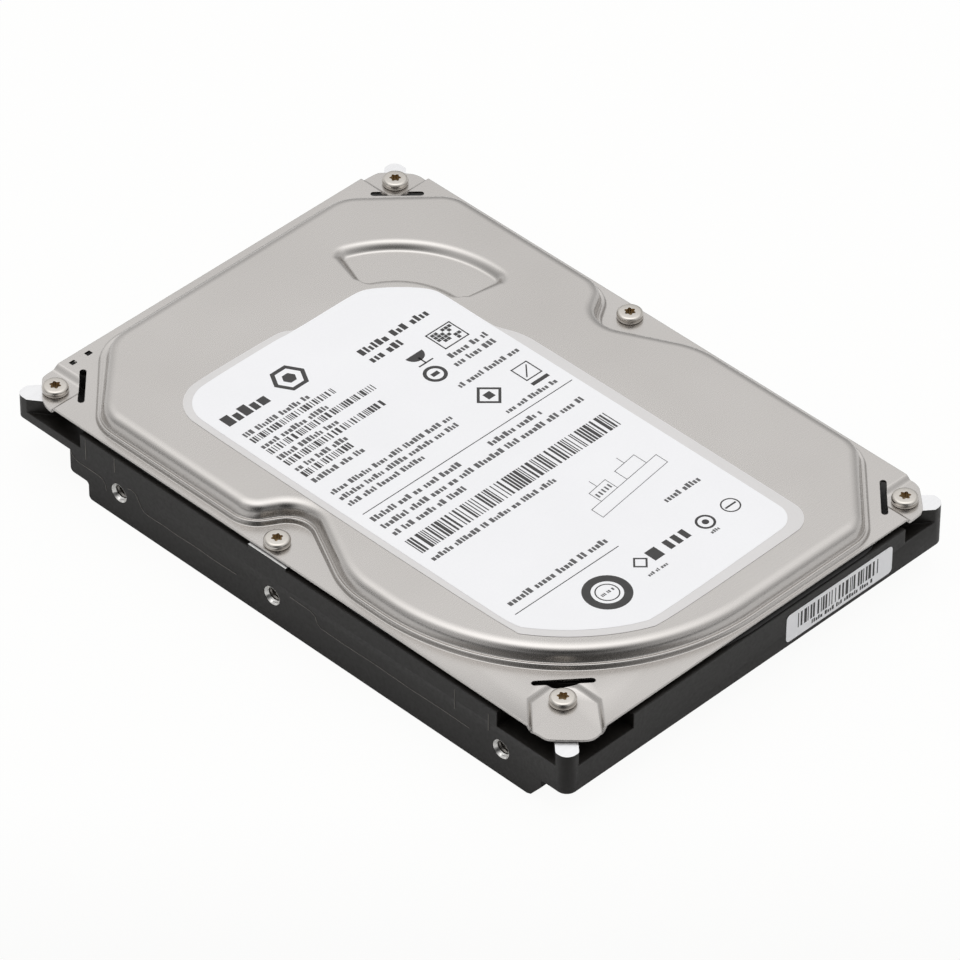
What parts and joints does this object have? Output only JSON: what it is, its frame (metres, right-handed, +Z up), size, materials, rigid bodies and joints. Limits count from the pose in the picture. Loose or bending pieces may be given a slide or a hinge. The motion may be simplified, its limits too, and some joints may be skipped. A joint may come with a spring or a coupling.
{
  "type": "hard disk drive",
  "caption": "Sealed 3.5 inch disk drive: dark cast tray, pressed steel cover with six screws, spinning disc, swinging head arm, circuit board and data and power connector.",
  "frame": {"origin": "centre of the drive's outline, on the plane of the bottom mounting rails", "axes": "+Z up through the cover, +Y towards the connector end, +X to the right seen from the end away from the connector"},
  "size_m": [0.1016, 0.147, 0.02],
  "materials": {
    "coated_casting": "dark coated die casting, semi-gloss",
    "stainless_sheet": "satin stainless sheet",
    "seal_rubber": "matt",
    "nickel_plate": "bright nickel",
    "label_film": "satin film",
    "steel": "machined",
    "brass_bush": "turned",
    "aluminium": "machined",
    "disc_surface": "mirror polished",
    "magnet_nickel": "nickel plated",
    "copper_winding": "enamelled copper wire",
    "dark_plastic": "moulded",
    "dark_ceramic": "lapped",
    "flex_film": "amber film over copper",
    "circuit_board": "solder-masked laminate",
    "chip_resin": "moulded resin",
    "filter_fibre": "non-woven pad",
    "insulator_foam": "thin foam",
    "gold_pin": "gold plated pins"
  },
  "bodies": {
    "chassis": {"base_casting": "coated_casting", "front_barcode_label": "label_film", "spindle_motor_base": "aluminium", "spindle_bearing_sleeve": "brass_bush", "stator_core": "steel", "vcm_lower_yoke": "steel", "vcm_upper_yoke": "steel", "vcm_lower_magnet": "magnet_nickel", "vcm_upper_magnet": "magnet_nickel", "vcm_spacer_1": "steel", "vcm_spacer_2": "steel", "pivot_shaft": "steel", "latch_pin": "steel", "crash_stop_inner": "seal_rubber", "crash_stop_outer": "seal_rubber", "flex_bracket": "dark_plastic", "flex_bracket_screw": "nickel_plate", "flex_cable": "flex_film", "recirculation_filter": "filter_fibre", "breather_filter": "filter_fibre", "pcb_board": "circuit_board", "pcb_insulator": "insulator_foam", "controller_chip": "chip_resin", "motor_driver_chip": "chip_resin", "cache_memory_chip": "chip_resin", "sata_connector": "dark_plastic", "jumper_pin_block": "gold_pin", "pcb_screw_1": "nickel_plate", "pcb_screw_2": "nickel_plate", "pcb_screw_3": "nickel_plate", "pcb_screw_4": "nickel_plate"},
    "disc_pack": {"spindle_shaft": "steel", "spindle_hub": "aluminium", "rotor_magnet": "magnet_nickel", "platter": "disc_surface", "disc_clamp": "aluminium", "disc_clamp_screw": "nickel_plate"},
    "actuator": {"pivot_bearing_lower": "steel", "pivot_bearing_upper": "steel", "pivot_sleeve": "steel", "actuator_arm": "aluminium", "voice_coil": "copper_winding", "coil_frame": "dark_plastic", "upper_suspension": "steel", "lower_suspension": "steel", "upper_head_slider": "dark_ceramic", "lower_head_slider": "dark_ceramic", "preamp_chip": "chip_resin"},
    "latch": {"actuator_latch": "dark_plastic"},
    "cover": {"top_cover": "stainless_sheet", "cover_gasket": "seal_rubber", "top_label": "label_film", "cover_screw_rear_left": "nickel_plate", "cover_screw_rear_right": "nickel_plate", "cover_screw_mid_left": "nickel_plate", "cover_screw_mid_right": "nickel_plate", "cover_screw_front_left": "nickel_plate", "cover_screw_front_right": "nickel_plate"}
  },
  "joints": [
    {"name": "spindle_spin", "type": "hinge", "parent": "chassis", "child": "disc_pack", "pos_m": [0, -0.023, 0.0126], "axis": [0, 0, 1], "continuous": true},
    {"name": "actuator_swing", "type": "hinge", "parent": "chassis", "child": "actuator", "pos_m": [0.008, 0.0326, 0.0126], "axis": [0, 0, -1], "range_deg": [0, 29.5]},
    {"name": "latch_swing", "type": "hinge", "parent": "chassis", "child": "latch", "pos_m": [0.003, 0.0605, 0.0126], "axis": [0, 0, 1], "range_deg": [0, 8]},
    {"name": "cover_lift", "type": "slide", "parent": "chassis", "child": "cover", "axis": [0, 0, 1], "range_m": [0, 0.12]}
  ]
}
